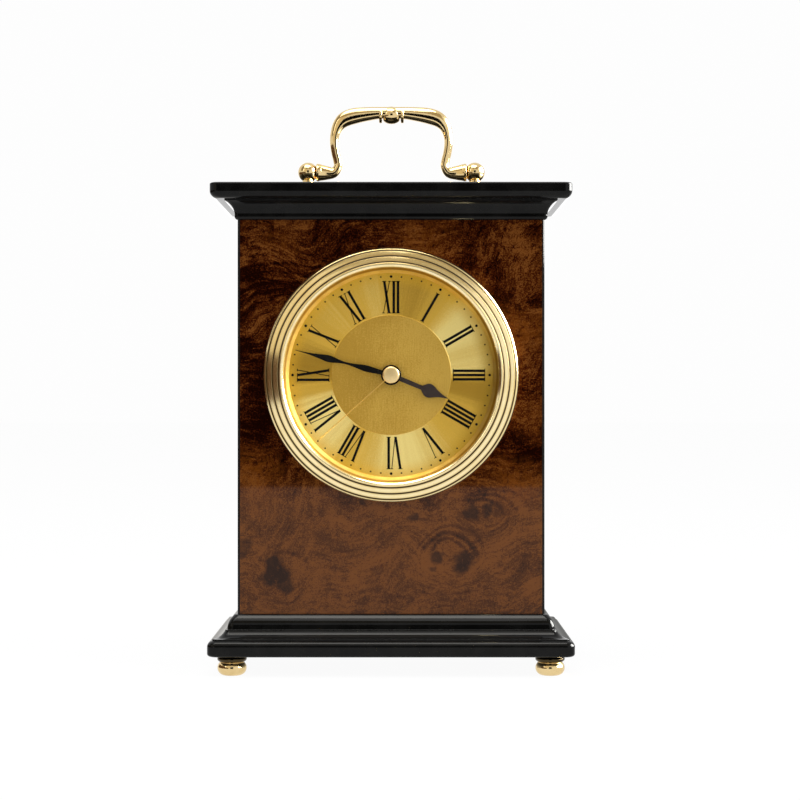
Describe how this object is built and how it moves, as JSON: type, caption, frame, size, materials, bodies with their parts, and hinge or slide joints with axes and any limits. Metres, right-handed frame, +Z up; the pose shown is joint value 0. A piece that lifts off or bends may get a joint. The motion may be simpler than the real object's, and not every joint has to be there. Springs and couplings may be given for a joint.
{
  "type": "desk_clock",
  "caption": "Wooden desk clock with a burl front, black lacquered cornice and plinth, brass bun feet, a swinging brass handle and a round gilt quartz insert with Roman numerals and hands.",
  "frame": {"origin": "On the surface that the clock stands on, under the middle of its plinth", "axes": "+X is to the right seen from the front, +Y runs from the dial to the back door, +Z is up"},
  "size_m": [0.147, 0.089, 0.2342],
  "materials": {
    "black_lacquer": "gloss",
    "black_stain": "satin",
    "burl": "gloss",
    "plain_wood": "matte",
    "polished_brass": "polished",
    "gilt": "satin",
    "clear_glass": "polished",
    "black_enamel": "satin",
    "black_plastic": "matte",
    "white_plastic": "satin",
    "black_rubber": "matte",
    "steel": "satin",
    "copper_wire": "gloss",
    "board_laminate": "satin",
    "cell_wrap": "gloss"
  },
  "bodies": {
    "case": {"top_board": "black_lacquer", "cornice_moulding": "black_lacquer", "front_panel": "black_lacquer", "burl_veneer": "burl", "left_side": "black_lacquer", "right_side": "black_lacquer", "corner_blocks": "plain_wood", "plinth_moulding": "black_lacquer", "plinth_board": "black_lacquer", "plinth_screws": "steel", "foot_front_left": "polished_brass", "foot_front_right": "polished_brass", "foot_rear_left": "polished_brass", "foot_rear_right": "polished_brass", "handle_post_left": "polished_brass", "handle_post_right": "polished_brass", "handle_washers": "steel", "handle_nuts": "steel", "back_panel": "black_stain", "door_stop": "plain_wood", "door_magnet": "steel", "hinge_leaves_frame": "polished_brass", "hinge_pins": "steel", "hinge_screws_frame": "polished_brass", "insert_cup": "black_plastic", "grip_band": "black_rubber", "bezel": "polished_brass", "dial_ring": "gilt", "dial": "gilt", "crystal": "clear_glass", "movement_screws": "steel", "movement_case": "black_plastic", "movement_cover": "black_plastic", "cover_screws": "steel", "train_bridge": "white_plastic", "stator_core": "steel", "coil_bobbin": "white_plastic", "coil_winding": "copper_wire", "circuit_board": "board_laminate", "quartz_crystal": "steel", "battery_cell": "cell_wrap", "battery_contacts": "steel"},
    "second_hand": {"second_hand": "polished_brass", "seconds_wheel": "white_plastic"},
    "minute_hand": {"minute_hand": "black_enamel", "cannon_pinion": "polished_brass"},
    "hour_hand": {"hour_hand": "black_enamel", "hour_wheel": "white_plastic"},
    "minute_wheel": {"minute_wheel": "white_plastic", "setting_knob": "white_plastic"},
    "centre_wheel": {"centre_wheel": "white_plastic"},
    "third_wheel": {"third_wheel": "white_plastic"},
    "intermediate_wheel": {"intermediate_wheel": "white_plastic"},
    "rotor": {"rotor": "steel"},
    "handle": {"handle_bail": "polished_brass"},
    "door": {"back_door": "black_stain", "door_knob": "polished_brass", "hinge_leaves_door": "polished_brass", "hinge_screws_door": "polished_brass", "door_strike": "steel"}
  },
  "joints": [
    {"name": "second_hand_turn", "type": "hinge", "parent": "case", "child": "second_hand", "pos_m": [0, -0.03, 0.1207], "axis": [0, 1, 0], "continuous": true},
    {"name": "minute_hand_turn", "type": "hinge", "parent": "case", "child": "minute_hand", "pos_m": [0, -0.03, 0.1207], "axis": [0, 1, 0], "continuous": true},
    {"name": "hour_hand_turn", "type": "hinge", "parent": "case", "child": "hour_hand", "pos_m": [0, -0.03, 0.1207], "axis": [0, 1, 0], "continuous": true},
    {"name": "minute_wheel_turn", "type": "hinge", "parent": "case", "child": "minute_wheel", "pos_m": [-0.01104, -0.02, 0.1207], "axis": [0, 1, 0], "continuous": true},
    {"name": "centre_wheel_turn", "type": "hinge", "parent": "case", "child": "centre_wheel", "pos_m": [0, -0.02, 0.1207], "axis": [0, 1, 0], "continuous": true},
    {"name": "third_wheel_turn", "type": "hinge", "parent": "case", "child": "third_wheel", "pos_m": [0.00954, -0.02, 0.12621], "axis": [0, 1, 0], "continuous": true},
    {"name": "intermediate_wheel_turn", "type": "hinge", "parent": "case", "child": "intermediate_wheel", "pos_m": [-0.0056, -0.02, 0.1304], "axis": [0, 1, 0], "continuous": true},
    {"name": "rotor_turn", "type": "hinge", "parent": "case", "child": "rotor", "pos_m": [-0.01235, -0.02, 0.1343], "axis": [0, 1, 0], "continuous": true},
    {"name": "handle_swing", "type": "hinge", "parent": "case", "child": "handle", "pos_m": [0, 0, 0.2062], "axis": [1, 0, 0], "range_deg": [-100, 100]},
    {"name": "door_swing", "type": "hinge", "parent": "case", "child": "door", "pos_m": [0.0406, 0.0341, 0.112], "axis": [0, 0, -1], "range_deg": [0, 110]}
  ],
  "couplings": [
    {"joint": "intermediate_wheel_turn", "follows": "second_hand_turn", "ratio": -6},
    {"joint": "rotor_turn", "follows": "second_hand_turn", "ratio": 30},
    {"joint": "third_wheel_turn", "follows": "second_hand_turn", "ratio": -0.13333},
    {"joint": "centre_wheel_turn", "follows": "second_hand_turn", "ratio": 0.016667},
    {"joint": "minute_wheel_turn", "follows": "minute_hand_turn", "ratio": -0.33333},
    {"joint": "hour_hand_turn", "follows": "minute_hand_turn", "ratio": 0.083333}
  ]
}
